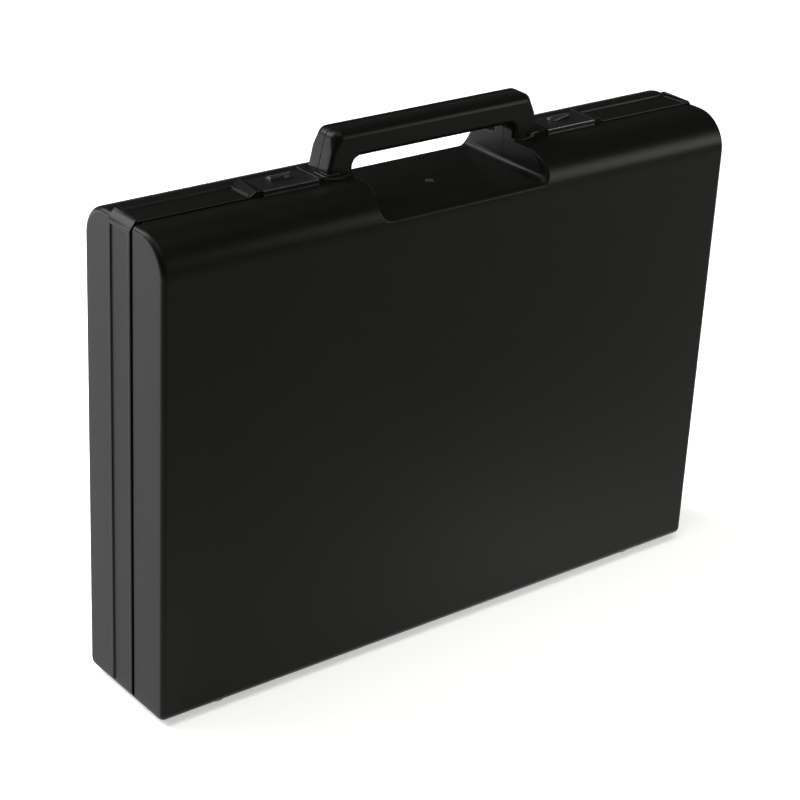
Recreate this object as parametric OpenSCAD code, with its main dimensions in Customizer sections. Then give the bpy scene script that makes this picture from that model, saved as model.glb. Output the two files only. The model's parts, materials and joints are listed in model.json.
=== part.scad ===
// Moulded plastic transit case, shown standing on its hinged edge with the lid to the front.
// +X is to the right, -Y to the front, +Z up. The origin is at the middle of the footprint, on the
// surface that the feet stand on.

/* [Case] */
// Width of the case over the raised rim
case_w = 378.6; // [340:0.2:440]
// Height of the case over the raised rim, without feet and handle
case_h = 271.5; // [250:0.5:320]
// Depth of the lid in front of the rim
front_d = 29.1; // [28:0.1:45]
// Depth of the base behind the rim
back_d = 24.1; // [23:0.1:40]
// Wall of both shells
wall = 3; // [2.6:0.1:3.4]
// Radius of the lid's long top edge
front_top_r = 21; // [14:0.5:24]
// Radius of the base's long top edge
back_top_r = 18; // [12:0.5:20]
// Radius of the long bottom edges
bottom_r = 5; // [4.5:0.1:8]
// Radius of the edges round both end faces
end_r = 3; // [2:0.1:4]

/* [Rim] */
// Width of the raised rim, front to back
rim_d = 20.2; // [19:0.1:24]
// Height of the rim above the end faces
rim_side = 0.8; // [0.6:0.1:2]
// Height of the rim above the top faces
rim_top = 1; // [0.6:0.1:1.5]
// Height of the rim below the bottom faces
rim_bottom = 0.4; // [0.2:0.1:0.8]
// Width and height of the chamfers on the rim's four corners
chamfer_w = 3.1; // [2:0.1:5]
chamfer_h = 4.2; // [2:0.1:6]
// Height of the raised corner blocks on top of the rim
block_rise = 0.9; // [0.5:0.1:1.5]
// Length of a raised corner block, from the end of the case, at the middle of the rim
block_w = 5.5; // [5:0.1:9]
// Angle that a block's inner end is turned by, seen from above
block_turn = 6; // [0:0.5:12]
// Depth of the channel along the rim
channel_t = 1; // [0.5:0.1:1.2]
// Width of the ridge on each side of the channel
ridge_w = 1.8; // [1.2:0.1:2.5]
// Distance from the rim's bottom corners to its channel below the case
corner_w = 7; // [6:0.5:20]
// Distance from the top of the rim to the upper end of its side channels
corner_h = 6; // [5:0.1:12]
// Distance from the bottom of the rim to the lower end of its side channels
corner_low = 2; // [1:0.1:6]
// Width of the open joint line between lid and rim
joint_w = 1.2; // [0.8:0.1:2.2]
// Depth of the open joint line
joint_t = 1.8; // [1:0.1:2]
// Gap between the closing faces of the two shells
gap = 0.3; // [0.2:0.05:0.5]
// Reach of the locating lip into the lid
lip_reach = 4; // [2.5:0.1:5]
// Thickness of the locating lip
lip_t = 1.5; // [1.2:0.1:2]

/* [Handle] */
// Clear width of the finger opening and of the recess below it
grip_w = 108.6; // [95:0.2:125]
// Height of the handle above the rim
handle_h = 23.8; // [20:0.2:32]
// Depth of the recess floor below the rim
recess_h = 15.2; // [12:0.2:20]
// Height of the grip bar
grip_t = 15.2; // [13:0.1:18]
// Half length of the handle at its foot
foot_x = 71.6; // [70:0.1:74]
// Amount by which each leg leans in towards the top
leg_lean = 4.7; // [3:0.1:6]
// Depth of the handle, front to back
handle_d = 19.2; // [17:0.1:22]
// Radius of the grip's upper edges and corners
handle_r = 5.5; // [4:0.1:6]
// Radius of the legs' outer edges
leg_r = 2.2; // [1.5:0.1:3]
// Radius round the edges of the finger opening
opening_r = 3.6; // [2:0.1:4]
// Radius of the finger opening's upper corners
grip_r = 5; // [3:0.1:8]
// Radius between the recess floor and its side walls
recess_r = 3.5; // [2:0.1:6]
// Radius of the recess's mouth beside the handle
mouth_r = 1; // [0.6:0.1:2]
// Radius of the recess's mouth at the front and back edges of its floor
sill_r = 4.2; // [2:0.1:5]
// Radius and height of the gate mark on the recess floor
gate_r = 2.4; // [1:0.1:4]
gate_h = 0.4; // [0.3:0.1:1]
// Wall of the two handle halves
handle_wall = 2.6; // [2.2:0.1:3.5]
// Reach of the lid's handle tab past the handle's foot, to each side
tab_side = 1.9; // [1.5:0.1:2.5]
// Reach of the tab below the recess floor's wall
tab_drop = 4; // [2:0.5:6]

/* [Latches] */
// Distance of each latch from the middle of the case
latch_x = 94.5; // [92:0.1:110]
// Length of a latch plate
latch_w = 34.4; // [28:0.1:36]
// Depth of a latch plate, front to back
latch_d = 17.4; // [15:0.1:18]
// Thickness of a latch plate
latch_t = 1.9; // [1.6:0.1:2.6]
// Overhang of the plate in front of the rim
latch_over = 0.7; // [0.5:0.1:1.6]
// Reach of the keeper rib on the lid in front of the latch plate
keeper_out = 0.4; // [0.2:0.1:1]
// Travel of a latch from closed to open
latch_travel = 6; // [4:0.5:7]
// Length of the thumb grip on a latch
thumb_w = 13; // [9:0.5:18]
// Height of the thumb grip
thumb_h = 2.4; // [1.5:0.1:3]
// Depth of the thumb grip, front to back
thumb_d = 6; // [4:0.1:7]
// Reach of the plate's guide tongues into the side bars
tongue_w = 1; // [0.8:0.1:1.2]
// Thickness of the guide tongues
tongue_t = 0.9; // [0.7:0.1:1]
// Width of the raised bar outside each latch, at the middle of the rim
bar_w = 2.2; // [1.8:0.1:4]
// Width of the bar's sloping outer side
bar_slope = 3.2; // [2:0.1:5]
// Angle that the bar is turned by, seen from above
bar_turn = 9; // [0:0.5:12]
// Sliding clearance round a latch plate
slide_gap = 0.25; // [0.15:0.05:0.35]

/* [Hinges] */
// Distance of each hinge from the ends of the case
hinge_end = 77.3; // [70:0.5:100]
// Number of knuckles in a hinge
knuckles = 5; // [3:2:7]
// Length of a knuckle
knuckle_w = 10; // [8:0.5:12]
// Outer radius of a knuckle
knuckle_r = 2.4; // [2.3:0.05:2.6]
// Radius of a hinge pin
pin_r = 1.2; // [1:0.05:1.3]
// Depth of the hinge line below the rim
hinge_drop = 0.6; // [0.5:0.05:0.7]
// Radial clearance of the pin in the lid's knuckles
pin_play = 0.06; // [0.03:0.01:0.1]
// Gap between neighbouring knuckles
knuckle_gap = 0.4; // [0.3:0.05:0.6]

/* [Feet] */
// Height of the feet below the rim
foot_h = 3.2; // [3.1:0.05:4]
// Radius of a foot
foot_r = 7; // [5:0.1:8]
// Distance of the feet from the ends of the case
foot_end = 41.3; // [25:0.1:45]
// Distance of the feet from the front and back faces
foot_in = 6.5; // [5.5:0.1:8]
// Radius of a foot's spigot
spigot_r = 2.5; // [2:0.1:3]

/* [Linings] */
// Thickness of the flat foam in the base
base_foam_t = 10; // [5:0.5:12]
// Thickness of the profiled foam in the lid
lid_foam_t = 16; // [10:0.5:20]
// Clearance round the foams
foam_gap = 0.8; // [0.5:0.1:2]
// Corner radius of the foams
foam_r = 12; // [6:1:20]

/* [Hidden] */
// Depth of the whole case, and its front and back
case_d = front_d + rim_d + back_d;
front_y = -case_d / 2;
back_y = case_d / 2;
// Middle of the rim, where the handle is split, and the closing plane at the rim's front
rim_y = (front_d - back_d) / 2;
part_y = rim_y - rim_d / 2;
rim_back_y = rim_y + rim_d / 2;
// Underside and top of the rim
low_z = foot_h;
high_z = foot_h + case_h;
// Distance of the gate mark behind the closing plane, and of a channel from its bar
gate_in = 5.2;
channel_gap = 1;
// Share of the chamfer's width that stays clear below a corner block, and the slope of the block's
// outer end
block_clear = 0.9;
block_slope = 1.2;
// Half width, underside and top of the shells beside the rim
shell_x = case_w / 2 - rim_side;
shell_low = low_z + rim_bottom;
shell_high = high_z - rim_top;
// Recess below the handle
recess_x = grip_w / 2;
floor_z = high_z - recess_h;
// Sections of an edge cutter in each rounded corner and along each curved edge, and the steps of
// its arc
bend_n = 8;
edge_n = 5;
// Share of its radius that an edge cutter stands off by, so that it crosses both faces cleanly
edge_off = 0.02;
// Handle: its top and the underside of the grip
top_z = high_z + handle_h;
grip_z = top_z - grip_t;
// The lid's tab that carries the front half of the handle, with the clearance beside it
tab_x = foot_x + tab_side;
tab_z = floor_z - wall - tab_drop;
// Latches
plate_low = high_z + slide_gap;
plate_high = plate_low + latch_t;
plate_front = part_y - latch_over;
pocket_x0 = latch_x - latch_w / 2 - slide_gap;
pocket_x1 = latch_x + latch_w / 2 + slide_gap;
tongue_z = plate_low + 0.3;
thumb_y = rim_y - 1.5;
// Hinges
hinge_x = case_w / 2 - hinge_end;
hinge_z = low_z - hinge_drop;
hinge_len = knuckles * knuckle_w;
web = 7;
notch_r = knuckle_r + 0.3;
// Feet
foot_at = case_w / 2 - foot_end;
lid_foot_y = front_y + foot_in + foot_r;
base_foot_y = back_y - foot_in - foot_r;
spigot_h = 2;
spigot_gap = 0.05;
foot_seat = 0.02;
// Gap between a foam's back and the shell that it is stuck to
foam_seat = 0.05;
// Overlap that joins solids of one piece
eps = 0.5;
far = 500;

// Points of a circular arc
function arc(cx, cy, r, a0, a1, n) =
    [for (i = [0:n]) let (a = a0 + (a1 - a0) * i / n) [cx + r * cos(a), cy + r * sin(a)]];

// Extrusions of a flat shape along X (shape in Y, Z), along Y (shape in X, Z) and along Z
module along_x(x0, x1) {
    translate([x0, 0, 0]) rotate([90, 0, 90]) linear_extrude(x1 - x0) children();
}

module along_y(y0, y1) {
    translate([0, y1, 0]) rotate([90, 0, 0]) linear_extrude(y1 - y0) children();
}

// Box between two corners
module span(a, b) {
    translate(a) cube(b - a);
}

// Rectangle with a radius at each corner: lower left, lower right, upper right, upper left
module rounded(x0, x1, y0, y1, r) {
    polygon([
        [x0 + r[0], y0], [x1 - r[1], y0], [x1, y0 + r[1]], [x1, y1 - r[2]],
        [x1 - r[2], y1], [x0 + r[3], y1], [x0, y1 - r[3]], [x0, y0 + r[0]]
    ]);
    translate([x0 + r[0], y0 + r[0]]) circle(r[0], $fn = 64);
    translate([x1 - r[1], y0 + r[1]]) circle(r[1], $fn = 64);
    translate([x1 - r[2], y1 - r[2]]) circle(r[2], $fn = 64);
    translate([x0 + r[3], y1 - r[3]]) circle(r[3], $fn = 64);
}

// Disc across the whole case with rounded rims, one long edge of the case
module corner_disc(y, z, r) {
    w = 2 * shell_x;
    translate([-shell_x, y, z]) rotate([0, 90, 0]) rotate_extrude($fn = 72)
        polygon(concat([[0, 0]], arc(r - end_r, end_r, end_r, -90, 0, 5),
            arc(r - end_r, w - end_r, end_r, 0, 90, 5), [[0, w]]));
}

// Closed block of the case, with rounded long edges and rounded edges round both end faces
module body_block() {
    hull() {
        corner_disc(front_y + bottom_r, shell_low + bottom_r, bottom_r);
        corner_disc(back_y - bottom_r, shell_low + bottom_r, bottom_r);
        corner_disc(front_y + front_top_r, shell_high - front_top_r, front_top_r);
        corner_disc(back_y - back_top_r, shell_high - back_top_r, back_top_r);
    }
}

// Outside of the closed case without rim and handle: the recess runs through from front to back
module outside() {
    difference() {
        body_block();
        along_y(-far, far)
            rounded(-recess_x, recess_x, floor_z, far, [recess_r, recess_r, eps, eps]);
        mouth_cutter();
    }
}

// Cross-section of an edge cutter round the ball centre b: an arc from one face to the other, closed
// outside the solid. n1 and n2 are the outward normals of the two faces.
function edge_section(b, n1, n2, r) =
    let (w = acos(n1 * n2), q = r + eps, m = (n1 + n2) / (1 + n1 * n2), c = b + edge_off * r * m)
    concat(
        [c + q * n1],
        [for (i = [0:edge_n]) let (t = w * i / edge_n) c + r * (n1 * sin(w - t) + n2 * sin(t)) / sin(w)],
        [c + q * n2, c + q * m]
    );

// Outward normal of the long top edge at an angle above the horizontal; d = -1 is the front
function edge_normal(d, a) = [0, d * cos(a), sin(a)];

// Sections of the recess's mouth on its right half at one long edge, from the top of the wall down
// to the floor. The radius grows from mouth_r beside the handle to sill_r at the floor.
function mouth_half(d, big_r) =
    let (
        y0 = d < 0 ? front_y + big_r : back_y - big_r,
        z0 = shell_high - big_r,
        x0 = recess_x - recess_r,
        low = floor_z + recess_r,
        a0 = asin((low - z0) / (big_r - sill_r))
    )
    concat(
        [for (i = [0:bend_n - 1])
            let (t = i / bend_n, a = 90 - (90 - a0) * t, r = mouth_r + (sill_r - mouth_r) * t * t)
            edge_section([recess_x + r, y0 + d * (big_r - r) * cos(a), z0 + (big_r - r) * sin(a)],
                [-1, 0, 0], edge_normal(d, a), r)],
        [for (i = [0:bend_n])
            let (
                f = 90 * i / bend_n,
                z = low - (recess_r + sill_r) * sin(f),
                a = asin(max(0, (z - z0) / (big_r - sill_r)))
            )
            edge_section([x0 + (recess_r + sill_r) * cos(f), y0 + d * (big_r - sill_r) * cos(a), z],
                [-cos(f), 0, sin(f)], edge_normal(d, a), sill_r)]
    );

// The same sections in the opposite order, and on the other side of the case
function turned(sections) = [for (i = [len(sections) - 1:-1:0]) sections[i]];

function across(sections) = [for (section = sections) [for (p = section) [-p[0], p[1], p[2]]]];

// Solid through a list of sections with the same number of points; closed joins the last to the first
module swept(sections, closed) {
    m = len(sections[0]);
    n = len(sections);
    last = closed ? n - 1 : n - 2;
    polyhedron(
        points = [for (section = sections) each section],
        faces = concat(
            [for (i = [0:last], j = [0:m - 1])
                each let (k = (i + 1) % n, l = (j + 1) % m)
                [[i * m + j, i * m + l, k * m + j], [i * m + l, k * m + l, k * m + j]]],
            closed ? [] : [[for (j = [m - 1:-1:0]) j], [for (j = [0:m - 1]) (n - 1) * m + j]]
        )
    );
}

// Rounds the recess's mouth all the way round: front edge, over the top beside the handle, back edge
module mouth_cutter() {
    front = mouth_half(-1, front_top_r);
    back = mouth_half(1, back_top_r);
    swept(concat(across(front), turned(front), back, across(turned(back))), true);
}

// Hollow inside both shells, with the recess standing into it
module inside() {
    difference() {
        along_x(-shell_x + wall, shell_x - wall)
            rounded(front_y + wall, back_y - wall, shell_low + wall, shell_high - wall,
                [bottom_r - wall + 1, bottom_r - wall + 1, back_top_r - wall, front_top_r - wall]);
        span([-recess_x - wall, -far, floor_z - wall], [recess_x + wall, far, far]);
    }
}

// Rectangle with the rim's chamfers on its corners
module chamfered(x, z0, z1) {
    polygon([
        [-x, z0 + chamfer_h], [-x + chamfer_w, z0], [x - chamfer_w, z0], [x, z0 + chamfer_h],
        [x, z1 - chamfer_h], [x - chamfer_w, z1], [-x + chamfer_w, z1], [-x, z1 - chamfer_h]
    ]);
}

// Raised rim all round the case, with a channel along each side between solid corners
module rim() {
    difference() {
        along_y(part_y, rim_back_y) chamfered(case_w / 2, low_z, high_z);
        span([-recess_x, -far, floor_z - eps], [recess_x, far, far]);
        along_y(part_y + ridge_w, rim_back_y - ridge_w) rim_channels();
    }
    for (s = [-1, 1]) corner_block(s);
}

// Raised block on an upper corner of the rim: its outer end continues the chamfer less steeply, and
// its inner end is turned
module corner_block(s) {
    x = case_w / 2;
    scale([s, 1, 1]) intersection() {
        translate([x - block_w, rim_y, 0]) rotate([0, 0, block_turn])
            span([0, -rim_d, 0], [far, rim_d, far]);
        along_y(part_y, rim_back_y) polygon([
            [x - block_clear * chamfer_w, high_z - rim_top - eps],
            [x - block_clear * chamfer_w, high_z - (1 - block_clear) * chamfer_h],
            [x - chamfer_w - block_slope * block_rise, high_z + block_rise],
            [x - 2 * block_w, high_z + block_rise], [x - 2 * block_w, high_z - rim_top - eps]
        ]);
    }
}

// Outlines of the rim's channels: both ends, the bottom, and the top from the latches to the blocks
module rim_channels() {
    x = case_w / 2 - channel_t;
    long_x = case_w / 2 - corner_w;
    top_x = pocket_x1 + bar_w + bar_slope + channel_gap;
    for (s = [-1, 1]) scale([s, 1]) {
        translate([x, low_z + corner_low]) square([far, case_h - corner_h - corner_low]);
        translate([top_x, high_z - channel_t]) square([x - chamfer_w - channel_t - top_x, far]);
    }
    translate([-long_x, -far]) square([2 * long_x, far + low_z + rim_bottom]);
}

// Outer form of the handle, one rounded block before the finger opening is cut
module handle_block() {
    foot_low = high_z - 2;
    bend_z = top_z - handle_r;
    step = leg_lean / (bend_z - foot_low);
    grip_y = handle_d / 2 - handle_r;
    leg_y = handle_d / 2 - leg_r;
    hull() for (sx = [-1, 1], sy = [-1, 1]) {
        translate([sx * (foot_x - leg_lean - handle_r), rim_y + sy * grip_y, bend_z])
            sphere(handle_r, $fn = 32);
        for (z = [foot_low, bend_z - handle_r])
            translate([sx * (foot_x - leg_r - step * (z - foot_low)), rim_y + sy * leg_y, z])
                sphere(leg_r, $fn = 32);
    }
}

// Finger opening: as wide as the recess, up to the underside of the grip
module finger_opening() {
    along_y(-far, far)
        rounded(-recess_x, recess_x, floor_z + recess_r, grip_z, [0.01, 0.01, grip_r, grip_r]);
}

// Sections that round the finger opening's edge on the front of the handle, right half
function opening_half() =
    let (
        y = opening_r - handle_d / 2,
        c = [recess_x - grip_r, y, grip_z - grip_r],
        n2 = [0, -1, 0]
    )
    concat(
        [edge_section([recess_x + opening_r, y, shell_high - wall], [-1, 0, 0], n2, opening_r)],
        [for (i = [0:bend_n]) let (u = [cos(90 * i / bend_n), 0, sin(90 * i / bend_n)])
            edge_section(c + (grip_r + opening_r) * u, -u, n2, opening_r)]
    );

// Rounds the finger opening's edge on one face of the handle; d = -1 is the front
module opening_cutter(d) {
    right = opening_half();
    translate([0, rim_y, 0]) scale([1, -d, 1]) swept(concat(right, across(turned(right))), false);
}

// Handle with its finger opening, not reaching into the hollow of the case
module handle() {
    difference() {
        handle_block();
        finger_opening();
        opening_cutter(-1);
        opening_cutter(1);
        span([-far, -far, -far], [far, far, shell_high - wall / 2]);
    }
}

// Hollow of one handle half, open at the seam; s = -1 is the front half
module handle_hollow(s) {
    depth = handle_d / 2 - handle_wall;
    x_low = foot_x - handle_wall - 1.5;
    x_high = x_low - leg_lean;
    y0 = s < 0 ? rim_y - depth : rim_y - eps;
    y1 = s < 0 ? rim_y + eps : rim_y + depth;
    z1 = top_z - handle_wall - 0.5;
    inner_x = recess_x + handle_wall;
    along_y(y0, y1) for (k = [-1, 1]) scale([k, 1])
        polygon([
            [inner_x, shell_high - wall - eps], [x_low, shell_high - wall - eps],
            [x_high + 0.6, z1 - 4], [x_high - 3.4, z1], [-eps, z1], [-eps, grip_z + handle_wall],
            [inner_x - 2, grip_z + handle_wall], [inner_x, grip_z + handle_wall - 2]
        ]);
}

// Raised bed beside the handle foot that a latch slides in, with its turned bar
module latch_bed(s) {
    x0 = foot_x - leg_r - leg_lean - 1;
    x1 = pocket_x1 + bar_w;
    scale([s, 1, 1]) {
        span([x0, part_y, high_z - eps], [pocket_x0, rim_back_y, plate_high]);
        intersection() {
            translate([x1, rim_y, 0]) rotate([0, 0, bar_turn]) along_y(-rim_d, rim_d) polygon([
                [x0 - x1, high_z - eps], [bar_slope, high_z - eps], [bar_slope, high_z],
                [0, plate_high], [x0 - x1, plate_high]
            ]);
            span([pocket_x0, part_y, high_z - eps], [far, rim_back_y, far]);
        }
    }
}

// Rib on top of the lid that a latch plate closes over
module keeper_rib(s) {
    scale([s, 1, 1])
        span([latch_x - latch_w / 2, plate_front - keeper_out, shell_high - eps],
            [latch_x + latch_w / 2, part_y - gap / 2, high_z]);
}

// Pocket and guide grooves of a latch
module latch_pocket(s) {
    along_y(-far, far) scale([s, 1]) {
        translate([pocket_x0, high_z]) square([pocket_x1 - pocket_x0, far]);
        translate([pocket_x0 - tongue_w, tongue_z - slide_gap])
            square([pocket_x1 - pocket_x0 + 2 * tongue_w, tongue_t + 2 * slide_gap]);
    }
}

// Solid of the closed case, both shells in one
module whole() {
    difference() {
        union() {
            outside();
            rim();
            for (s = [-1, 1]) latch_bed(s);
            handle();
            translate([0, part_y + gate_in, floor_z - eps])
                cylinder(h = gate_h + eps, r = gate_r, $fn = 48);
        }
        inside();
        for (s = [-1, 1]) latch_pocket(s);
    }
}

// Space that the lid takes up; grow moves its closing faces
module lid_space(grow) {
    span([-far, -far, -far], [far, part_y + grow, far]);
    span([-tab_x - grow, part_y - 1, tab_z - grow], [tab_x + grow, rim_y + grow, far]);
}

// Locating lip on the base that reaches into the lid
module locating_lip() {
    x = shell_x - wall - gap;
    z0 = shell_low + wall + gap;
    z1 = shell_high - wall - gap;
    y0 = part_y - lip_reach;
    y1 = part_y + 2 * lip_t;
    difference() {
        union() {
            along_y(y0, y1) rounded(-x, x, z0, z1, [2, 2, 2, 2]);
            along_y(part_y + 2 * gap, y1)
                rounded(-x - 2 * gap, x + 2 * gap, z0 - 2 * gap, z1 + 2 * gap, [2, 2, 2, 2]);
        }
        along_y(-far, far) rounded(-x + lip_t, x - lip_t, z0 + lip_t, z1 - lip_t, [1, 1, 1, 1]);
        span([-tab_x - 3, -far, tab_z], [tab_x + 3, far, far]);
    }
}

// Open joint line at both ends of the lid, in front of the rim and round its corners
module joint_line() {
    x = shell_x - joint_t;
    long_x = case_w / 2 - corner_w;
    difference() {
        along_y(part_y - joint_w, part_y + eps) difference() {
            translate([-far, -far]) square(2 * far);
            chamfered(x, shell_low + joint_t, shell_high - joint_t);
        }
        span([-long_x, -far, -far], [long_x, far, far]);
    }
}

// One knuckle with the web that joins it to a shell; s = 1 is on the base, s = -1 on the lid
module knuckle(s, x0, x1) {
    z1 = s > 0 ? low_z + eps : shell_low + eps;
    along_x(x0, x1) {
        translate([part_y, hinge_z]) circle(knuckle_r, $fn = 48);
        polygon([
            [part_y, hinge_z - knuckle_r], [part_y + s * web, z1 - 1], [part_y + s * web, z1],
            [part_y + s * (gap / 2), z1], [part_y + s * (gap / 2), hinge_z], [part_y, hinge_z]
        ]);
    }
}

// Knuckles of both hinges on one shell: odd ones on the base, even ones on the lid
module knuckle_row(s) {
    for (side = [-1, 1], i = [0:knuckles - 1]) if ((i % 2 == 0) == (s > 0)) {
        x = side * hinge_x - hinge_len / 2 + i * knuckle_w;
        knuckle(s, x + knuckle_gap / 2, x + knuckle_w - knuckle_gap / 2);
    }
}

// Room in one shell for the other shell's knuckles
module knuckle_room(s) {
    for (side = [-1, 1], i = [0:knuckles - 1]) if ((i % 2 == 0) == (s < 0)) {
        x = side * hinge_x - hinge_len / 2 + i * knuckle_w;
        along_x(x - knuckle_gap / 2, x + knuckle_w + knuckle_gap / 2)
            translate([part_y, hinge_z]) circle(notch_r, $fn = 48);
    }
}

// Bores for both hinge pins
module pin_bores(play) {
    for (side = [-1, 1]) translate([side * hinge_x, part_y, hinge_z]) rotate([0, 90, 0])
        cylinder(h = hinge_len + 2, r = pin_r + play, center = true, $fn = 48);
}

// Blind holes for the spigots of two feet
module foot_holes(y) {
    for (side = [-1, 1]) translate([side * foot_at, y, shell_low - 1])
        cylinder(h = spigot_h + 1 + spigot_gap, r = spigot_r + spigot_gap, $fn = 48);
}

module base_shell() {
    color("#1d1e20") difference() {
        union() {
            difference() {
                whole();
                lid_space(gap / 2);
                handle_hollow(1);
                knuckle_room(1);
            }
            locating_lip();
            knuckle_row(1);
        }
        pin_bores(0.02);
        foot_holes(base_foot_y);
    }
}

module lid_shell() {
    color("#1d1e20") difference() {
        union() {
            difference() {
                intersection() {
                    whole();
                    lid_space(-gap / 2);
                }
                joint_line();
                handle_hollow(-1);
                knuckle_room(-1);
            }
            knuckle_row(-1);
            for (s = [-1, 1]) keeper_rib(s);
        }
        pin_bores(pin_play);
        foot_holes(lid_foot_y);
    }
}

// Sliding latch: plate with guide tongues and a raised thumb grip
module latch(s) {
    x0 = latch_x - latch_w / 2;
    x1 = latch_x + latch_w / 2;
    y0 = plate_front;
    y1 = plate_front + latch_d;
    color("#232427") scale([s, 1, 1]) {
        along_x(x0, x1) rounded(y0, y1, plate_low, plate_high, [0.3, 0.3, 0.3, 0.7]);
        along_x(x0 - tongue_w + slide_gap, x1 + tongue_w - slide_gap)
            translate([part_y + slide_gap, tongue_z]) square([y1 - part_y - 1, tongue_t]);
        along_x(latch_x - thumb_w / 2, latch_x + thumb_w / 2)
            polygon([
                [thumb_y, plate_high - eps], [thumb_y + thumb_d, plate_high - eps],
                [thumb_y + thumb_d, plate_high], [thumb_y + 2, plate_high + thumb_h - 0.2],
                [thumb_y + 1, plate_high + thumb_h], [thumb_y + 0.4, plate_high + thumb_h]
            ]);
    }
}

module latch_left() { latch(-1); }

module latch_right() { latch(1); }

// Straight steel pin of one hinge
module hinge_pin(side) {
    color("#9a9da1") translate([side * hinge_x, part_y, hinge_z]) rotate([0, 90, 0])
        cylinder(h = hinge_len - 2 * knuckle_gap, r = pin_r, center = true, $fn = 48);
}

module hinge_pin_left() { hinge_pin(-1); }

module hinge_pin_right() { hinge_pin(1); }

// Moulded foot with a spigot pressed into the shell
module foot(side, y) {
    edge = 1;
    color("#141415") translate([side * foot_at, y, 0]) {
        rotate_extrude($fn = 64) polygon(concat([[0, 0]], arc(foot_r - edge, edge, edge, -90, 0, 6),
            [[foot_r, shell_low - foot_seat], [0, shell_low - foot_seat]]));
        cylinder(h = shell_low + spigot_h, r = spigot_r, $fn = 48);
    }
}

module base_foot_left() { foot(-1, base_foot_y); }

module base_foot_right() { foot(1, base_foot_y); }

module lid_foot_left() { foot(-1, lid_foot_y); }

module lid_foot_right() { foot(1, lid_foot_y); }

// Foam sheet between two depths, clear of the locating lip and of the recess
module foam(y0, y1) {
    x = shell_x - wall - foam_gap;
    z0 = shell_low + bottom_r + 1 + foam_gap;
    z1 = tab_z - foam_gap - 0.5;
    color("#2b2c30") along_y(y0, y1) rounded(-x, x, z0, z1, [foam_r, foam_r, foam_r, foam_r]);
}

module base_foam() {
    y = back_y - wall - foam_seat;
    foam(y - base_foam_t, y);
}

module lid_foam() {
    y = front_y + wall + foam_seat;
    foam(y, y + lid_foam_t);
}

base_shell();
lid_shell();
latch_left();
latch_right();
hinge_pin_left();
hinge_pin_right();
base_foot_left();
base_foot_right();
lid_foot_left();
lid_foot_right();
base_foam();
lid_foam();
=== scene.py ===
"""Looks of the moulded plastic transit case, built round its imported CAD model, in metres."""

import json
import math

import bmesh
import bpy
import numpy as np
from mathutils import Matrix, Vector
from mathutils.bvhtree import BVHTree

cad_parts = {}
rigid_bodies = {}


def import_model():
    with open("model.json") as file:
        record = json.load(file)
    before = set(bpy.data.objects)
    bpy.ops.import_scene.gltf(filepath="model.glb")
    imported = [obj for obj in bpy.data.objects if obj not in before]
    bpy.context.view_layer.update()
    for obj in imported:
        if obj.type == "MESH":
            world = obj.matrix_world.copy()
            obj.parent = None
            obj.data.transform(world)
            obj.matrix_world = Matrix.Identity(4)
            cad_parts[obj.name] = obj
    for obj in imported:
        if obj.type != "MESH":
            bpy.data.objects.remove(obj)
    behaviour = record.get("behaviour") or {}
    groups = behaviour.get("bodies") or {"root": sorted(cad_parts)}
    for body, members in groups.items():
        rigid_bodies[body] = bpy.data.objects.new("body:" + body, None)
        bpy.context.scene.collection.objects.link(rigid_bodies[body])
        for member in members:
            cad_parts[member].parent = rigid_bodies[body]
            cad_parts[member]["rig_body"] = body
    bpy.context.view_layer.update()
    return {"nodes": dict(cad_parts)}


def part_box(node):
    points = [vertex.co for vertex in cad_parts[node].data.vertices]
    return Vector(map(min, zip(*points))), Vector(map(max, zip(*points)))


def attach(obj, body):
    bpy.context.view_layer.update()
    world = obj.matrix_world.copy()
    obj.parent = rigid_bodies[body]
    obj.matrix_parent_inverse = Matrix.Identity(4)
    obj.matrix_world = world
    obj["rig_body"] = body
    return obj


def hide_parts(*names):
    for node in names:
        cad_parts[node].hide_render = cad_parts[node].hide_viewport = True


MM = 0.001

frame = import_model()


# Shader groups


def new_group(name, inputs, outputs):
    """Empty shader node group with the named sockets; inputs are (name, kind, default)."""
    tree = bpy.data.node_groups.new(name, "ShaderNodeTree")
    for label, kind, value in inputs:
        socket = tree.interface.new_socket(label, in_out="INPUT", socket_type=kind)
        if value is not None:
            socket.default_value = value
    for label, kind in outputs:
        tree.interface.new_socket(label, in_out="OUTPUT", socket_type=kind)
    start = tree.nodes.new("NodeGroupInput")
    end = tree.nodes.new("NodeGroupOutput")
    return tree, start, end


def math_node(tree, operation, a, b):
    """Math node whose operands are sockets or numbers; returns its output."""
    node = tree.nodes.new("ShaderNodeMath")
    node.operation = operation
    for socket, value in zip(node.inputs, (a, b)):
        if isinstance(value, (int, float)):
            socket.default_value = value
        else:
            tree.links.new(value, socket)
    return node.outputs[0]


def noise(tree, vector, scale, detail=2.0, rough=0.5):
    """Noise texture at a scale in features per metre; returns its value output."""
    node = tree.nodes.new("ShaderNodeTexNoise")
    tree.links.new(vector, node.inputs["Vector"])
    if isinstance(scale, (int, float)):
        node.inputs["Scale"].default_value = scale
    else:
        tree.links.new(scale, node.inputs["Scale"])
    node.inputs["Detail"].default_value = detail
    node.inputs["Roughness"].default_value = rough
    return node.outputs[0]


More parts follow.
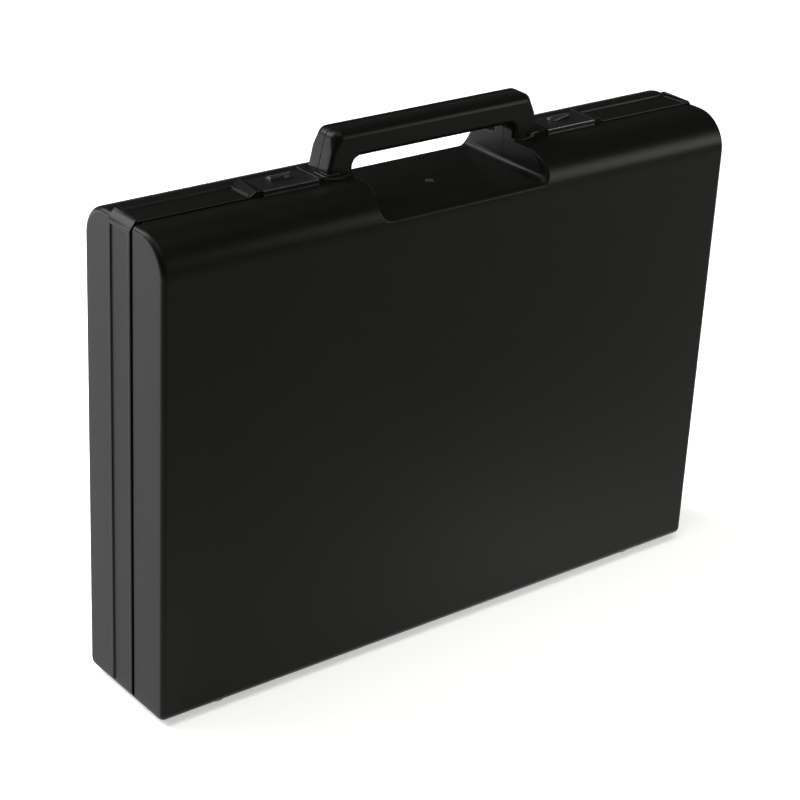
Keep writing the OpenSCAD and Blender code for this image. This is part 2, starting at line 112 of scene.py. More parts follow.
def spark_grain():
    """Eroded mould texture: cells and a finer noise give the height, a slow noise the sheen.

    Height = cell distance at Grain + a quarter of a noise at 2.3 Grain; Sheen is a slow noise
    that runs from 0 to 1 over a hand's breadth.
    """
    tree, start, end = new_group(
        "moulded_grain",
        [("Vector", "NodeSocketVector", None), ("Grain", "NodeSocketFloat", 1400.0)],
        [("Height", "NodeSocketFloat"), ("Sheen", "NodeSocketFloat")],
    )
    cells = tree.nodes.new("ShaderNodeTexVoronoi")
    cells.feature = "SMOOTH_F1"
    tree.links.new(start.outputs["Vector"], cells.inputs["Vector"])
    tree.links.new(start.outputs["Grain"], cells.inputs["Scale"])
    fine = noise(tree, start.outputs["Vector"], math_node(tree, "MULTIPLY", start.outputs["Grain"], 2.3))
    tree.links.new(
        math_node(tree, "ADD", cells.outputs["Distance"], math_node(tree, "MULTIPLY", fine, 0.25)),
        end.inputs["Height"],
    )
    tree.links.new(noise(tree, start.outputs["Vector"], 9.0, 4.0, 0.6), end.inputs["Sheen"])
    return tree


def handling_marks():
    """Faint rubbed patches: a stretched noise cut at a high level gives a mask from 0 to 1."""
    tree, start, end = new_group(
        "handling_marks",
        [("Vector", "NodeSocketVector", None), ("Level", "NodeSocketFloat", 0.62)],
        [("Mask", "NodeSocketFloat")],
    )
    stretch = tree.nodes.new("ShaderNodeMapping")
    stretch.inputs["Scale"].default_value = (18.0, 60.0, 45.0)
    stretch.inputs["Rotation"].default_value = (0.3, 0.2, 0.4)
    tree.links.new(start.outputs["Vector"], stretch.inputs["Vector"])
    value = noise(tree, stretch.outputs["Vector"], 1.0, 6.0, 0.65)
    lifted = math_node(tree, "SUBTRACT", value, start.outputs["Level"])
    node = tree.nodes.new("ShaderNodeMath")
    node.operation = "MULTIPLY"
    node.use_clamp = True
    tree.links.new(lifted, node.inputs[0])
    node.inputs[1].default_value = 8.0
    tree.links.new(node.outputs[0], end.inputs["Mask"])
    return tree


GRAIN = spark_grain()
MARKS = handling_marks()


# Materials


def new_material(name):
    """New material, with its node tree, its shader and the object coordinates in metres."""
    mat = bpy.data.materials.new(name)
    mat.use_nodes = True
    tree = mat.node_tree
    place = tree.nodes.new("ShaderNodeTexCoord").outputs["Object"]
    return mat, tree, tree.nodes["Principled BSDF"], place


def shared(tree, group, place):
    """Node that runs a shared shader group on the given coordinates."""
    node = tree.nodes.new("ShaderNodeGroup")
    node.node_tree = group
    tree.links.new(place, node.inputs["Vector"])
    return node


def bump(tree, shader, height, strength, depth):
    """Bump of the given depth in metres from a height, on the shader's normal."""
    node = tree.nodes.new("ShaderNodeBump")
    node.inputs["Strength"].default_value = strength
    node.inputs["Distance"].default_value = depth
    tree.links.new(height, node.inputs["Height"])
    tree.links.new(node.outputs["Normal"], shader.inputs["Normal"])


def ramp(tree, value, low, high):
    """Maps a value from 0..1 to low..high; returns the output."""
    node = tree.nodes.new("ShaderNodeMapRange")
    tree.links.new(value, node.inputs["Value"])
    node.inputs["To Min"].default_value = low
    node.inputs["To Max"].default_value = high
    return node.outputs["Result"]


def tint(tree, value, dark, light):
    """Mixes two colours by a value; returns the colour output."""
    node = tree.nodes.new("ShaderNodeMix")
    node.data_type = "RGBA"
    tree.links.new(value, node.inputs["Factor"])
    node.inputs["A"].default_value = (*dark, 1)
    node.inputs["B"].default_value = (*light, 1)
    return node.outputs["Result"]


def plastic(name, dark, light, rough, grain, depth, specular):
    """Moulded plastic: base colour and roughness vary slowly from dark to light and between the two
    values of rough; the grain, in cells per metre, gives a bump of the depth given in metres."""
    mat, tree, shader, place = new_material(name)
    skin = shared(tree, GRAIN, place)
    skin.inputs["Grain"].default_value = grain
    rub = shared(tree, MARKS, place)
    tree.links.new(tint(tree, skin.outputs["Sheen"], dark, light), shader.inputs["Base Color"])
    sheen = ramp(tree, skin.outputs["Sheen"], *rough)
    worn = math_node(tree, "MULTIPLY", rub.outputs["Mask"], -RUB_SHINE)
    tree.links.new(math_node(tree, "ADD", sheen, worn), shader.inputs["Roughness"])
    bump(tree, shader, skin.outputs["Height"], 1.0, depth)
    shader.inputs["Specular IOR Level"].default_value = specular
    return mat


RUB_SHINE = 0.05
ABS_GRAIN = 1300.0
NYLON_GRAIN = 2200.0
SHELL = plastic(
    "black_moulded_abs",
    dark=(0.0028, 0.0028, 0.0024),
    light=(0.0042, 0.0042, 0.0037),
    rough=(0.3, 0.38),
    grain=ABS_GRAIN,
    depth=0.02 * MM,
    specular=0.05,
)
# Lighter, shinier copy of the shell plastic on the rounded edges' faces: a painted highlight along the ridges
# and edges.
SHELL_EDGE_HIGHLIGHT = plastic(
    "black_abs_painted_edge_highlight",
    dark=(0.006, 0.006, 0.0055),
    light=(0.009, 0.009, 0.0085),
    rough=(0.32, 0.4),
    grain=ABS_GRAIN,
    depth=0.008 * MM,
    specular=0.14,
)
GATE = plastic(
    "stressed_abs_gate_mark",
    dark=(0.008, 0.008, 0.0075),
    light=(0.03, 0.03, 0.028),
    rough=(0.5, 0.6),
    grain=2 * ABS_GRAIN,
    depth=0.06 * MM,
    specular=0.2,
)
LATCH = plastic(
    "smooth_black_nylon",
    dark=(0.0042, 0.0042, 0.0042),
    light=(0.006, 0.006, 0.0062),
    rough=(0.32, 0.4),
    grain=NYLON_GRAIN,
    depth=0.004 * MM,
    specular=0.14,
)
# Lighter, glossier copy of the latch nylon on the plates' round front edges: a painted highlight.
LATCH_EDGE_HIGHLIGHT = plastic(
    "black_nylon_painted_edge_highlight",
    dark=(0.01, 0.01, 0.01),
    light=(0.015, 0.015, 0.0155),
    rough=(0.25, 0.32),
    grain=NYLON_GRAIN,
    depth=0.003 * MM,
    specular=0.4,
)
FOOT = plastic(
    "black_rubber",
    dark=(0.01, 0.01, 0.01),
    light=(0.016, 0.016, 0.016),
    rough=(0.6, 0.75),
    grain=900.0,
    depth=0.03 * MM,
    specular=0.3,
)


def drawn_steel():
    """Hinge wire: fine drawing lines along the pin, in colour and roughness."""
    mat, tree, shader, place = new_material("drawn_steel_wire")
    stretch = tree.nodes.new("ShaderNodeMapping")
    stretch.inputs["Scale"].default_value = (60.0, 4000.0, 4000.0)
    tree.links.new(place, stretch.inputs["Vector"])
    grain = noise(tree, stretch.outputs["Vector"], 1.0, 3.0)
    dark, light = (0.46, 0.47, 0.48), (0.6, 0.6, 0.61)
    tree.links.new(tint(tree, grain, dark, light), shader.inputs["Base Color"])
    tree.links.new(ramp(tree, grain, 0.25, 0.42), shader.inputs["Roughness"])
    shader.inputs["Metallic"].default_value = 1.0
    return mat


def foam_skin():
    """Open-cell foam: cells about 1.2 mm wide give a deep bump, with painted shade darkening their hollows.
    """
    mat, tree, shader, place = new_material("open_cell_foam")
    cells = tree.nodes.new("ShaderNodeTexVoronoi")
    cells.inputs["Scale"].default_value = FOAM_CELLS
    tree.links.new(place, cells.inputs["Vector"])
    # Painted shade: the cells' hollows take the darker colour, their walls the lighter one.
    painted_pore_shade, wall = (0.012, 0.012, 0.013), (0.05, 0.05, 0.055)
    tree.links.new(tint(tree, cells.outputs["Distance"], painted_pore_shade, wall), shader.inputs["Base Color"])
    tree.links.new(ramp(tree, noise(tree, place, 30.0), 0.88, 1.0), shader.inputs["Roughness"])
    bump(tree, shader, cells.outputs["Distance"], 0.8, 0.6 * MM)
    shader.inputs["Specular IOR Level"].default_value = 0.2
    return mat


FOAM_CELLS = 850.0
STEEL = drawn_steel()
FOAM = foam_skin()


# Pieces

# Least turn in degrees of an edge that is rounded or crisp, and the cosine of 155 degrees between
# two edges that run on nearly straight
CORNER = 30
RUNS_ON = -0.906


def merged(node, cuts):
    """The CAD node's triangles merged and its flat faces made whole, as a new mesh, with edges
    added where the level planes at the heights given cut it."""
    mesh = frame["nodes"][node].data.copy()
    work = bmesh.new()
    work.from_mesh(mesh)
    bmesh.ops.remove_doubles(work, verts=work.verts, dist=2e-6)
    bmesh.ops.dissolve_limit(
        work, angle_limit=math.radians(0.6), verts=work.verts, edges=work.edges, use_dissolve_boundaries=False
    )
    for height in cuts:
        everything = work.verts[:] + work.edges[:] + work.faces[:]
        bmesh.ops.bisect_plane(work, geom=everything, dist=1e-6, plane_co=(0, 0, height), plane_no=(0, 0, 1))
    work.to_mesh(mesh)
    work.free()
    mesh.materials.clear()
    mesh.polygons.foreach_set("use_smooth", np.ones(len(mesh.polygons), bool))
    return mesh


def field(items, name, width, kind=float):
    """One property of all items of a mesh, as an array with the given number of columns."""
    values = np.empty(len(items) * width, kind)
    items.foreach_get(name, values)
    return values.reshape(-1, width) if width > 1 else values


def edge_turns(mesh):
    """Angle in degrees between the two faces at each edge, and whether the edge is convex.

    With face normals m and n and face centres a and b: turn = acos(m . n), and the edge is
    convex where (b - a) . m < 0.
    """
    normals = field(mesh.polygons, "normal", 3)
    centres = field(mesh.polygons, "center", 3)
    edge_of = field(mesh.loops, "edge_index", 1, np.int32)
    face_of = np.repeat(np.arange(len(mesh.polygons)), field(mesh.polygons, "loop_total", 1, np.int32))
    order = np.argsort(edge_of, kind="stable")
    pairs = face_of[order].reshape(-1, 2)
    m, n = normals[pairs[:, 0]], normals[pairs[:, 1]]
    turn = np.degrees(np.arccos(np.clip((m * n).sum(1), -1, 1)))
    step = centres[pairs[:, 1]] - centres[pairs[:, 0]]
    return turn, (step * m).sum(1) < 0


def room_at_edges(mesh, rounded):
    """Largest radius that fits each edge, from the edges that it meets at its two ends.

    With t the angle between two edges that leave one point, and l the other edge's length: a
    plain edge leaves room for l sin(t), and a rounded one for l tan(t / 2), at most l. Rounded
    edges that run on within 25 degrees of straight leave each other all room.
    """
    points = field(mesh.vertices, "co", 3)
    ends = field(mesh.edges, "vertices", 2, np.int32)
    along = points[ends[:, 1]] - points[ends[:, 0]]
    length = np.linalg.norm(along, axis=1)
    along /= np.maximum(length, 1e-9)[:, None]
    vertex = ends.T.reshape(-1)
    edge = np.tile(np.arange(len(ends)), 2)
    out = np.concatenate([along, -along])
    order = np.argsort(vertex, kind="stable")
    vertex, edge, out = vertex[order], edge[order], out[order]
    first = np.searchsorted(vertex, np.arange(len(points)))
    count = np.bincount(vertex, minlength=len(points))
    place = np.arange(len(vertex)) - first[vertex]
    room = np.full(len(ends), 1.0)
    for shift in range(1, int(count.max())):
        here = np.flatnonzero(count[vertex] > shift)
        there = first[vertex[here]] + (place[here] + shift) % count[vertex[here]]
        mine, other = edge[here], edge[there]
        cosine = np.clip((out[here] * out[there]).sum(1), -1, 1)
        sine = np.sqrt(1 - cosine**2)
        half = np.minimum(sine / np.maximum(1 + cosine, 1e-6), 1.0)
        free = length[other] * np.where(rounded[other], half, sine)
        free = np.where(rounded[other] & (cosine < RUNS_ON), 1.0, free)
        np.minimum.at(room, mine, free)
    return room


def gap_between(a0, a1, b0, b1):
    """Smallest distance of the ends of the segments a and b from the other segment, row by row."""
    gap = np.full(len(a0), 1.0)
    for p, q0, q1 in ((a0, b0, b1), (a1, b0, b1), (b0, a0, a1), (b1, a0, a1)):
        line = q1 - q0
        t = ((p - q0) * line).sum(1) / np.maximum((line**2).sum(1), 1e-18)
        foot = q0 + np.clip(t, 0, 1)[:, None] * line
        gap = np.minimum(gap, np.linalg.norm(p - foot, axis=1))
    return gap


def room_in_faces(mesh, rounded):
    """Largest radius that fits each edge across its two faces.

    Two edges of a face that don't touch and don't run the same way round it, so that the cosine
    between them is under 0.2, leave each other the distance between them, and 1.9 times that
    where the other one stays sharp.
    """
    points = field(mesh.vertices, "co", 3)
    corner = field(mesh.loops, "vertex_index", 1, np.int32)
    edge = field(mesh.loops, "edge_index", 1, np.int32)
    start = field(mesh.polygons, "loop_start", 1, np.int32)
    total = field(mesh.polygons, "loop_total", 1, np.int32)
    first, size = np.repeat(start, total), np.repeat(total, total)
    place = np.arange(len(corner)) - first
    head = points[corner]
    tail = points[corner[first + (place + 1) % size]]
    way = tail - head
    way /= np.maximum(np.linalg.norm(way, axis=1), 1e-9)[:, None]
    room = np.full(len(mesh.edges), 1.0)
    for shift in range(2, int(total.max()) - 1):
        here = np.flatnonzero(size > shift + 1)
        there = first[here] + (place[here] + shift) % size[here]
        facing = (way[here] * way[there]).sum(1) < 0.2
        here, there = here[facing], there[facing]
        gap = gap_between(head[here], tail[here], head[there], tail[there])
        np.minimum.at(room, edge[here], gap * np.where(rounded[edge[there]], 1.0, 1.9))
    return room


def faults(piece, skin, reach):
    """Points where the rounded surface is folded over, or further than reach from the CAD skin."""
    shape = piece.evaluated_get(bpy.context.evaluated_depsgraph_get())
    mesh = shape.to_mesh()
    mesh.calc_loop_triangles()
    points = field(mesh.vertices, "co", 3)
    corners = field(mesh.loop_triangles, "vertices", 3, np.int32)
    owner = field(mesh.loop_triangles, "polygon_index", 1, np.int32)
    a, b, c = (points[corners[:, k]] for k in range(3))
    area = np.cross(b - a, c - a)
    whole = np.stack([np.bincount(owner, area[:, k], len(mesh.polygons)) for k in range(3)], 1)
    folded = (area * whole[owner]).sum(1) < -1e-4 * MM**2 * np.linalg.norm(whole[owner], axis=1)
    away = np.array([skin.find_nearest(Vector(p))[3] for p in points]) > reach
    away[corners[folded].ravel()] = True
    shape.to_mesh_clear()
    return points[away]


def settle(piece, share, mesh):
    """Lowers the radius of the edges within 1 mm of each fault until none is left: by 0.6 in each
    of the first rounds, then to nothing, and further out in each round."""
    skin = BVHTree.FromPolygons([v.co[:] for v in mesh.vertices], [p.vertices[:] for p in mesh.polygons])
    points = field(mesh.vertices, "co", 3)
    ends = field(mesh.edges, "vertices", 2, np.int32)
    for turn in range(14):
        mesh.update()
        found = faults(piece, skin, 0.8 * piece.modifiers["edge_radius"].width)
        if len(found) == 0:
            return
        left = field(share.data, "value", 1, np.float32)
        near = np.zeros(len(left), bool)
        for p in np.unique(found.round(5), axis=0):
            a, b = points[ends[:, 0]], points[ends[:, 1]]
            line = b - a
            t = np.clip(((p - a) * line).sum(1) / np.maximum((line**2).sum(1), 1e-18), 0, 1)
            near |= np.linalg.norm(a + t[:, None] * line - p, axis=1) < (1 + 0.5 * max(turn - 5, 0)) * MM
        left[near] *= 0.6 if turn < 6 else 0
        share.data.foreach_set("value", left)


def dress(node, material, radius, edge_material=None, cuts=()):
    """Finished copy of a CAD node with rounded edges and normals weighted by face size. The new
    faces along the edges take edge_material, where there is one; on the shells that is a lighter
    material, a painted highlight along the edges.

    radius is a length, or a function of the edges' middles (in metres) and of their convexity
    that returns one length for each edge. Where less than that fits, the radius is 0.42 of the
    room at the edge. Edges that turn by more than CORNER degrees and get no radius stay crisp.
    """
    mesh = merged(node, cuts)
    mesh.materials.append(material)
    if edge_material:
        mesh.materials.append(edge_material)
    turn, convex = edge_turns(mesh)
    points = field(mesh.vertices, "co", 3)
    ends = field(mesh.edges, "vertices", 2, np.int32)
    middle = (points[ends[:, 0]] + points[ends[:, 1]]) / 2
    wanted = radius(middle, convex) if callable(radius) else np.full(len(ends), radius)
    rounded = turn > CORNER
    rounded &= wanted > 0
    room = np.minimum(room_at_edges(mesh, rounded), room_in_faces(mesh, rounded))
    width = np.where(rounded, np.minimum(wanted, 0.42 * room), 0)
    top = max(width.max(), 1e-6)
    share = mesh.attributes.new("bevel_weight_edge", "FLOAT", "EDGE")
    share.data.foreach_set("value", (width / top).astype(np.float32))
    piece = bpy.data.objects.new(node + "_form", mesh)
    bpy.context.scene.collection.objects.link(piece)
    edge = piece.modifiers.new("edge_radius", "BEVEL")
    edge.width = top
    edge.segments = 2
    edge.limit_method = "WEIGHT"
    edge.use_clamp_overlap = False
    edge.miter_outer = "MITER_SHARP"
    edge.material = 1 if edge_material else 0
    settle(piece, share, mesh)
    left = field(share.data, "value", 1, np.float32)
    mesh.edges.foreach_set("use_edge_sharp", (turn > CORNER) & (left < 1e-4))
    weight = piece.modifiers.new("even_normals", "WEIGHTED_NORMAL")
    weight.keep_sharp = True
    weight.weight = 80
    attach(piece, frame["nodes"][node]["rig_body"])
    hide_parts(node)
    return piece


# Places that tell the case's edges apart; those in x count from its middle to both sides
PART_Y = -7.6 * MM
HANDLE_PART_Y = 2.5 * MM
HANDLE_END_X = 72.5 * MM
RECESS_END_X = 60 * MM
RIM_BACK = 12.6 * MM
RIM_TOP = 274.7 * MM
RIM_END_X = 187 * MM
CHANNEL = 1.8 * MM
END_RIDGE_Z = (13 * MM, 262 * MM)
TOP_RIDGE_X = (124 * MM, 178 * MM)
KNUCKLE_X = (85 * MM, 139 * MM)
KNUCKLE_TOP = 4.7 * MM
KNUCKLE_REACH = 9 * MM
INSIDE_X = 185.6 * MM
INSIDE_Y = 33.8 * MM
INSIDE_Z = (6.5 * MM, 270.8 * MM)
WELL_X = 57.2 * MM
WELL_BOTTOM = 256.2 * MM
GRIP_BOTTOM = 276.95 * MM
PLATE_FRONT = -8.3 * MM
GATE_Y = -2.4 * MM
GATE_REACH = 2.6 * MM
FLOOR_Z = 259.5 * MM

# Radii of the edges
OUTER_RADIUS = 0.4 * MM
INNER_RADIUS = 0.3 * MM
RIDGE_RADIUS = 0.7 * MM
HANDLE_PART_RADIUS = 0.25 * MM
FLOOR_SEAM_RADIUS = 0.1 * MM
GRIP_RADIUS = 0.15 * MM
FOOT_RADIUS = 0.2 * MM
PIN_RADIUS = 0.25 * MM


def between(values, limits):
    """Which values lie between the two limits."""
    return (values > limits[0]) & (values < limits[1])


def shell_radii(middle, convex):
    """Radii of the shells' edges: wide on the rim's straight ridges, narrow on the closing faces
    at the handle and in the recess, none on the knuckles and inside the case."""
    x, y, z = (np.abs(middle[:, 0]), middle[:, 1], middle[:, 2])
    radius = np.where(convex, OUTER_RADIUS, INNER_RADIUS)
    on_end = (x > RIM_END_X) & between(z, END_RIDGE_Z)
    on_top = (z > RIM_TOP - 1.2 * MM) & between(x, TOP_RIDGE_X)
    on_ridge = np.zeros(len(y), bool)
    for ridge in (PART_Y + 0.15 * MM, PART_Y + CHANNEL, RIM_BACK - CHANNEL, RIM_BACK):
        on_ridge |= np.abs(y - ridge) < 0.3 * MM
    radius = np.where(convex & on_ridge & (on_end | on_top), RIDGE_RADIUS, radius)
    floor_seam = (x < RECESS_END_X) & (np.abs(y - PART_Y) < 0.4 * MM)
    radius = np.where(floor_seam, FLOOR_SEAM_RADIUS, radius)
    over_handle = (x < HANDLE_END_X) & (np.abs(y - HANDLE_PART_Y) < 0.4 * MM)
    radius = np.where(over_handle, HANDLE_PART_RADIUS, radius)
    knuckles = (z < KNUCKLE_TOP) & (np.abs(y - PART_Y) < KNUCKLE_REACH) & between(x, KNUCKLE_X)
    within = (x < INSIDE_X) & (np.abs(y) < INSIDE_Y) & between(z, INSIDE_Z)
    within &= ~((x < WELL_X) & (z > WELL_BOTTOM))
    return np.where(knuckles | within, 0.0, radius)


def give_faces_material(piece, material, face_picker):
    """Gives a material of their own to the faces of a piece that face_picker(centres, normals) picks:
    the gate mark, and the painted highlight on the latch plates' front edges.
    """
    mesh = piece.data
    mesh.materials.append(material)
    index = field(mesh.polygons, "material_index", 1, np.int32)
    picked = face_picker(field(mesh.polygons, "center", 3), field(mesh.polygons, "normal", 3))
    index[picked] = len(mesh.materials) - 1
    mesh.polygons.foreach_set("material_index", index)


def gate_mark(centres, normals):
    """Faces of the gate mark on the floor of the recess."""
    across = np.hypot(centres[:, 0], centres[:, 1] - GATE_Y)
    above = centres[:, 2] - FLOOR_Z
    return (across < GATE_REACH) & (np.abs(above - 0.2 * MM) < 0.25 * MM) & (normals[:, 2] > -0.1)


for name in ("base_shell", "lid_shell"):
    shell = dress(name, SHELL, shell_radii, SHELL_EDGE_HIGHLIGHT, cuts=END_RIDGE_Z)
    give_faces_material(shell, GATE, gate_mark)


def latch_radii(middle, convex):
    """Radii of a latch: on the thumb grip only, because the plate's long edges are round."""
    return np.where(convex & (middle[:, 2] > GRIP_BOTTOM), GRIP_RADIUS, 0.0)


def plate_front(centres, normals):
    """Faces of a latch plate's round front edge, which take the painted highlight."""
    return (centres[:, 1] < PLATE_FRONT + 0.75 * MM) & (normals[:, 1] < -0.1) & (normals[:, 2] > 0.1)


for name in ("latch_left", "latch_right"):
    latch = dress(name, LATCH, latch_radii)
    give_faces_material(latch, LATCH_EDGE_HIGHLIGHT, plate_front)
for name in ("base_foot_left", "base_foot_right", "lid_foot_left", "lid_foot_right"):
    dress(name, FOOT, FOOT_RADIUS)
for name in ("hinge_pin_left", "hinge_pin_right"):
    dress(name, STEEL, PIN_RADIUS)


# Linings

FOAM_CORNER = 12 * MM
EGG_PITCH = 26.4 * MM


def sheet_outline(u, v, half, corner):
    """Points of a rounded rectangle for parameters on the edge of the square from -1 to 1.

    Each side runs straight to the corner radius, and the stretch of the parameter left there is
    laid on half of the corner's arc: run = straight + r sin(b), rise = half - r (1 - cos(b)).
    """
    reach = np.abs(np.stack([u, v])) * half[:, None, None]
    straight = (half - corner)[:, None, None]
    bend = np.clip((reach - straight) / corner, 0, 1) * (np.pi / 4)
    run = np.minimum(reach, straight) + corner * np.sin(bend)
    rise = half[::-1, None, None] - corner * (1 - np.cos(bend))
    upright = np.abs(u) >= np.abs(v)
    return np.stack(
        [np.sign(u) * np.where(upright, rise[1], run[0]), np.sign(v) * np.where(upright, run[1], rise[0])], -1
    )


def grid_lines(half, cell, edge):
    """Parameters from -1 to 1, even over the sheet and close together over its rounded edge."""
    near = half - edge * (1 - np.cos(np.linspace(0, np.pi / 2, 5)[:4]))[::-1]
    count = int(round((half - edge) / cell))
    upper = np.concatenate([np.linspace(0, half - edge, count + 1)[1:], near])
    return np.concatenate([-upper[::-1], [0.0], upper]) / half


def lining(name, node, height, cell, edge):
    """Foam sheet: a grid over the node's rounded rectangle, lifted by a height field, and closed.

    P(u, v) = (1 - w) rectangle(u, v) + w outline(u, v) in X and Z, with w rising smoothly from
    0 to 1 towards the edge. The lift is height(x, z) less the fall of a quarter round at the
    edge, away from the shell that the sheet is stuck to. Sides and back close the sheet.
    """
    low, high = (np.array(c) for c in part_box(node))
    half = ((high - low) / 2)[[0, 2]]
    middle = (high + low) / 2
    side = -1.0 if middle[1] > 0 else 1.0
    wall = high[1] if middle[1] > 0 else low[1]
    u, v = np.meshgrid(*(grid_lines(h, cell, edge) for h in half), indexing="ij")
    m = np.maximum(np.maximum(np.abs(u), np.abs(v)), 1e-9)
    w = np.clip((m - 0.5) / 0.5, 0, 1)[..., None]
    w = w * w * (3 - 2 * w)
    outer = sheet_outline(u / m, v / m, half, FOAM_CORNER) * m[..., None]
    plan = np.stack([u, v], -1) * half * (1 - w) + outer * w
    inset = np.minimum((1 - np.abs(u)) * half[0], (1 - np.abs(v)) * half[1])
    fall = edge - np.sqrt(edge**2 - np.clip(edge - inset, 0, edge) ** 2)
    lift = height(plan[..., 0] / half[0], plan[..., 1] / half[1], half) - fall
    rows, columns = u.shape
    front = np.empty((rows, columns, 3))
    front[..., 0] = middle[0] + plan[..., 0]
    front[..., 1] = wall + side * lift
    front[..., 2] = middle[2] + plan[..., 1]
    back = front.copy()
    back[..., 1] = wall
    index = np.arange(rows * columns).reshape(rows, columns)
    cells = np.stack([index[:-1, :-1], index[1:, :-1], index[1:, 1:], index[:-1, 1:]], -1).reshape(-1, 4)
    loop = np.concatenate([index[:, 0], index[-1, 1:], index[-2::-1, -1], index[0, -2:0:-1]])
    after = np.roll(loop, -1)
    skirt = np.stack([after, loop, loop + index.size, after + index.size], -1)
    faces = np.concatenate([cells, cells[:, ::-1] + index.size, skirt])
    if side > 0:
        faces = faces[:, ::-1]
    mesh = bpy.data.meshes.new(name)
    points = np.concatenate([front.reshape(-1, 3), back.reshape(-1, 3)])
    mesh.from_pydata(points.tolist(), [], faces.tolist())
    mesh.polygons.foreach_set("use_smooth", np.ones(len(mesh.polygons), bool))
    mesh.materials.append(FOAM)
    piece = bpy.data.objects.new(name, mesh)
    bpy.context.scene.collection.objects.link(piece)
    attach(piece, frame["nodes"][node]["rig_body"])
    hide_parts(node)


def flat_foam(x, z, half):
    """Flat sheet, crowned by 0.9 mm, with a slow swell where the glue holds it more or less."""
    crown = (1 - x**4) * (1 - z**4)
    swell = np.sin(5.7 * x) * np.cos(5.2 * z + 0.4) + 0.6 * np.sin(12.4 * x + 6.4 * z)
    return (8.5 + 0.9 * crown + 0.25 * swell * crown) * MM


def egg_foam(x, z, half):
    """Profiled sheet: a cosine times a cosine, 5.5 mm in the hollows and 15.3 mm on the crests."""
    turn = 2 * np.pi / EGG_PITCH
    return (10.4 + 4.9 * np.cos(turn * x * half[0]) * np.cos(turn * z * half[1])) * MM


lining("base_lining", "base_foam", flat_foam, cell=3 * MM, edge=2.5 * MM)
lining("lid_lining", "lid_foam", egg_foam, cell=2.2 * MM, edge=0.8 * MM)


# Stage

PATCH_MIDDLE = (0.1, -0.1, 0.0)
PATCH_REACH = (0.4, 0.3, 1.0)


def mirrored_lift(tree, place, far, near, even, glow):
    """Light that the floor adds in mirrored views: none in front of y = far, the full level behind
    y = near, and glow more at the middle of a round patch in front of the case."""
    split = tree.nodes.new("ShaderNodeSeparateXYZ")
    tree.links.new(place, split.inputs["Vector"])
    fade = tree.nodes.new("ShaderNodeMapRange")
    fade.interpolation_type = "SMOOTHSTEP"
    tree.links.new(split.outputs["Y"], fade.inputs["Value"])
    fade.inputs["From Min"].default_value = far
    fade.inputs["From Max"].default_value = near
    patch = tree.nodes.new("ShaderNodeMapping")
    patch.vector_type = "TEXTURE"
    patch.inputs["Location"].default_value = PATCH_MIDDLE
    patch.inputs["Scale"].default_value = PATCH_REACH
    tree.links.new(place, patch.inputs["Vector"])
    bell = tree.nodes.new("ShaderNodeTexGradient")
    bell.gradient_type = "QUADRATIC_SPHERE"
    tree.links.new(patch.outputs["Vector"], bell.inputs["Vector"])
    patch_level = math_node(tree, "MULTIPLY", bell.outputs["Fac"], glow)
    level = math_node(tree, "ADD", patch_level, even)
    return math_node(tree, "MULTIPLY", fade.outputs["Result"], level)


def paper(name, colour, rough, lift):
    """Paper of a studio floor, very slightly mottled.

    lift brightens it for the camera and for refracted views, and mirrored_lift for mirrored ones,
    where it shines past white. So what the object mirrors is raised, and its diffuse light isn't.
    """
    mat, tree, shader, place = new_material(name)
    light = tuple(min(1.0, c * 1.01) for c in colour)
    tree.links.new(tint(tree, noise(tree, place, 3.0), colour, light), shader.inputs["Base Color"])
    shader.inputs["Roughness"].default_value = rough
    shader.inputs["Specular IOR Level"].default_value = 0.1
    path = tree.nodes.new("ShaderNodeLightPath")
    seen = math_node(tree, "MAXIMUM", path.outputs["Is Camera Ray"], path.outputs["Is Transmission Ray"])
    mirrored = mirrored_lift(tree, place, far=-0.36, near=-0.06, even=0.85, glow=1.5)
    mirrored = math_node(tree, "MULTIPLY", mirrored, path.outputs["Is Glossy Ray"])
    lifted = math_node(tree, "ADD", math_node(tree, "MULTIPLY", seen, lift), mirrored)
    tree.links.new(lifted, shader.inputs["Emission Strength"])
    shader.inputs["Emission Color"].default_value = (1, 1, 1, 1)
    return mat


FLOOR_REACH = 12
PAPER = paper("white_paper", colour=(0.9, 0.9, 0.9), rough=0.9, lift=0.36)
corners = [(FLOOR_REACH * x, FLOOR_REACH * y, 0) for x, y in ((-1, -1), (1, -1), (1, 1), (-1, 1))]
floor_mesh = bpy.data.meshes.new("studio_floor")
floor_mesh.from_pydata(corners, [], [(0, 1, 2, 3)])
floor = bpy.data.objects.new("studio_floor", floor_mesh)
floor_mesh.materials.append(PAPER)
bpy.context.scene.collection.objects.link(floor)


def softbox(name, place, aim, width, height, power, colour):
    """Rectangular area light at a place, turned to its aim."""
    light = bpy.data.lights.new(name, "AREA")
    light.shape = "RECTANGLE"
    light.size, light.size_y = width, height
    light.energy = power
    light.color = colour
    lamp = bpy.data.objects.new(name, light)
    lamp.location = place
    lamp.rotation_mode = "QUATERNION"
    lamp.rotation_quaternion = (Vector(aim) - Vector(place)).to_track_quat("-Z", "Y")
    bpy.context.scene.collection.objects.link(lamp)


COOL = (0.99, 0.99, 1.0)
WARM = (1.0, 1.0, 0.94)
# High key, and a weaker light that draws the top's back edges
softbox("key_left", (-0.75, 0.85, 1.5), (-0.3, 0.25, 0.0), width=0.8, height=0.8, power=32.0, colour=COOL)
softbox("rim_left", (-1.0, 1.2, 1.0), (-0.1, 0.1, 0.1), width=0.6, height=0.6, power=28.0, colour=COOL)
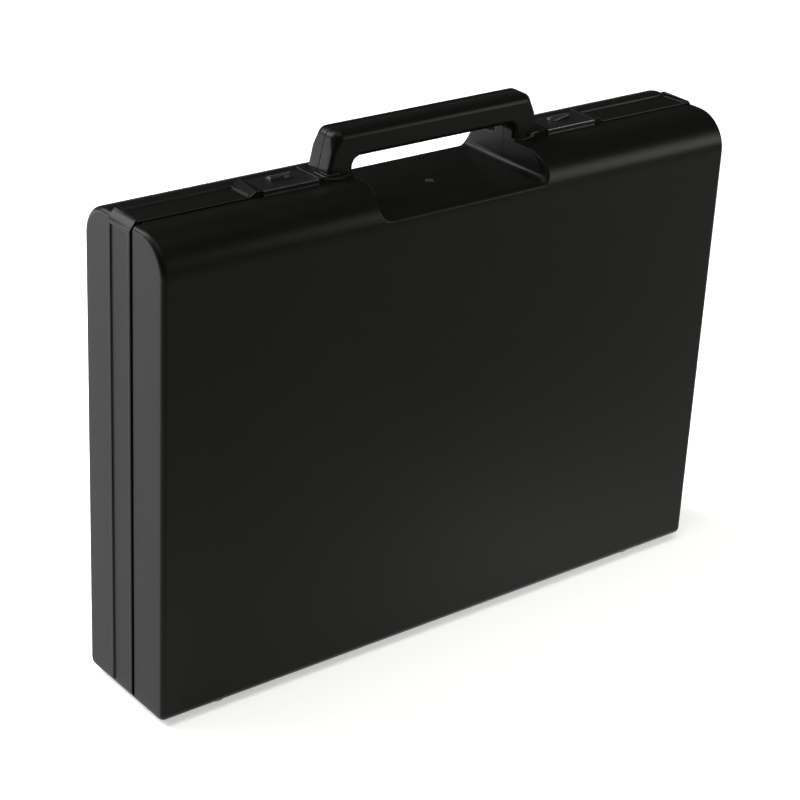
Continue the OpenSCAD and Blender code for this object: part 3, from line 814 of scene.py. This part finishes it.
# Low strip that shows in the handle's end
softbox("low_card_left", (-1.3, 1.35, 0.07), (0.0, 0.0, 0.2), width=1.2, height=0.12, power=14.0, colour=COOL)
# Card that draws the band of light along the round top edge
softbox("card_right", (1.24, -1.12, 0.7), (0.1, 0.0, 0.25), width=0.5, height=0.6, power=17.0, colour=WARM)
# Soft light from above
softbox("top_light", (-0.3, -0.4, 2.6), (0.0, 0.0, 0.0), width=2.0, height=2.0, power=44.0, colour=WARM)

world = bpy.data.worlds.new("studio")
world.use_nodes = True
surroundings = world.node_tree.nodes["Background"]
surroundings.inputs["Color"].default_value = (0.85, 0.85, 0.86, 1)
surroundings.inputs["Strength"].default_value = 0.055
bpy.context.scene.world = world
bpy.context.scene.view_settings.view_transform = "Standard"


# Camera

AZIMUTH = math.radians(-39.1243)
ELEVATION = math.radians(25.5860)
ROLL = math.radians(3.0280)
DISTANCE = 1.24405
TARGET = Vector((-8.22, 2.5, 130.07)) * MM
SENSOR = 36.0
FOCAL_PIXELS = 2234.33
PICTURE_PIXELS = 800.0


def photo_camera():
    """Camera of the photograph, from its angles round a target, its distance and focal length.

    back = (sin a cos e, -cos a cos e, sin e) for the azimuth a and elevation e; the roll turns
    right and up round it.
    """
    back = Vector(
        (
            math.sin(AZIMUTH) * math.cos(ELEVATION),
            -math.cos(AZIMUTH) * math.cos(ELEVATION),
            math.sin(ELEVATION),
        )
    )
    right = (-back).cross(Vector((0, 0, 1))).normalized()
    up = right.cross(-back)
    tilted_right = math.cos(ROLL) * right + math.sin(ROLL) * up
    tilted_up = -math.sin(ROLL) * right + math.cos(ROLL) * up
    data = bpy.data.cameras.new("photo_camera")
    data.sensor_width = SENSOR
    data.lens = FOCAL_PIXELS * SENSOR / PICTURE_PIXELS
    data.clip_start, data.clip_end = 0.05, 60.0
    camera = bpy.data.objects.new("photo_camera", data)
    turned = Matrix((tilted_right, tilted_up, back)).transposed().to_4x4()
    camera.matrix_world = Matrix.Translation(TARGET + back * DISTANCE) @ turned
    bpy.context.scene.collection.objects.link(camera)
    bpy.context.scene.camera = camera


photo_camera()
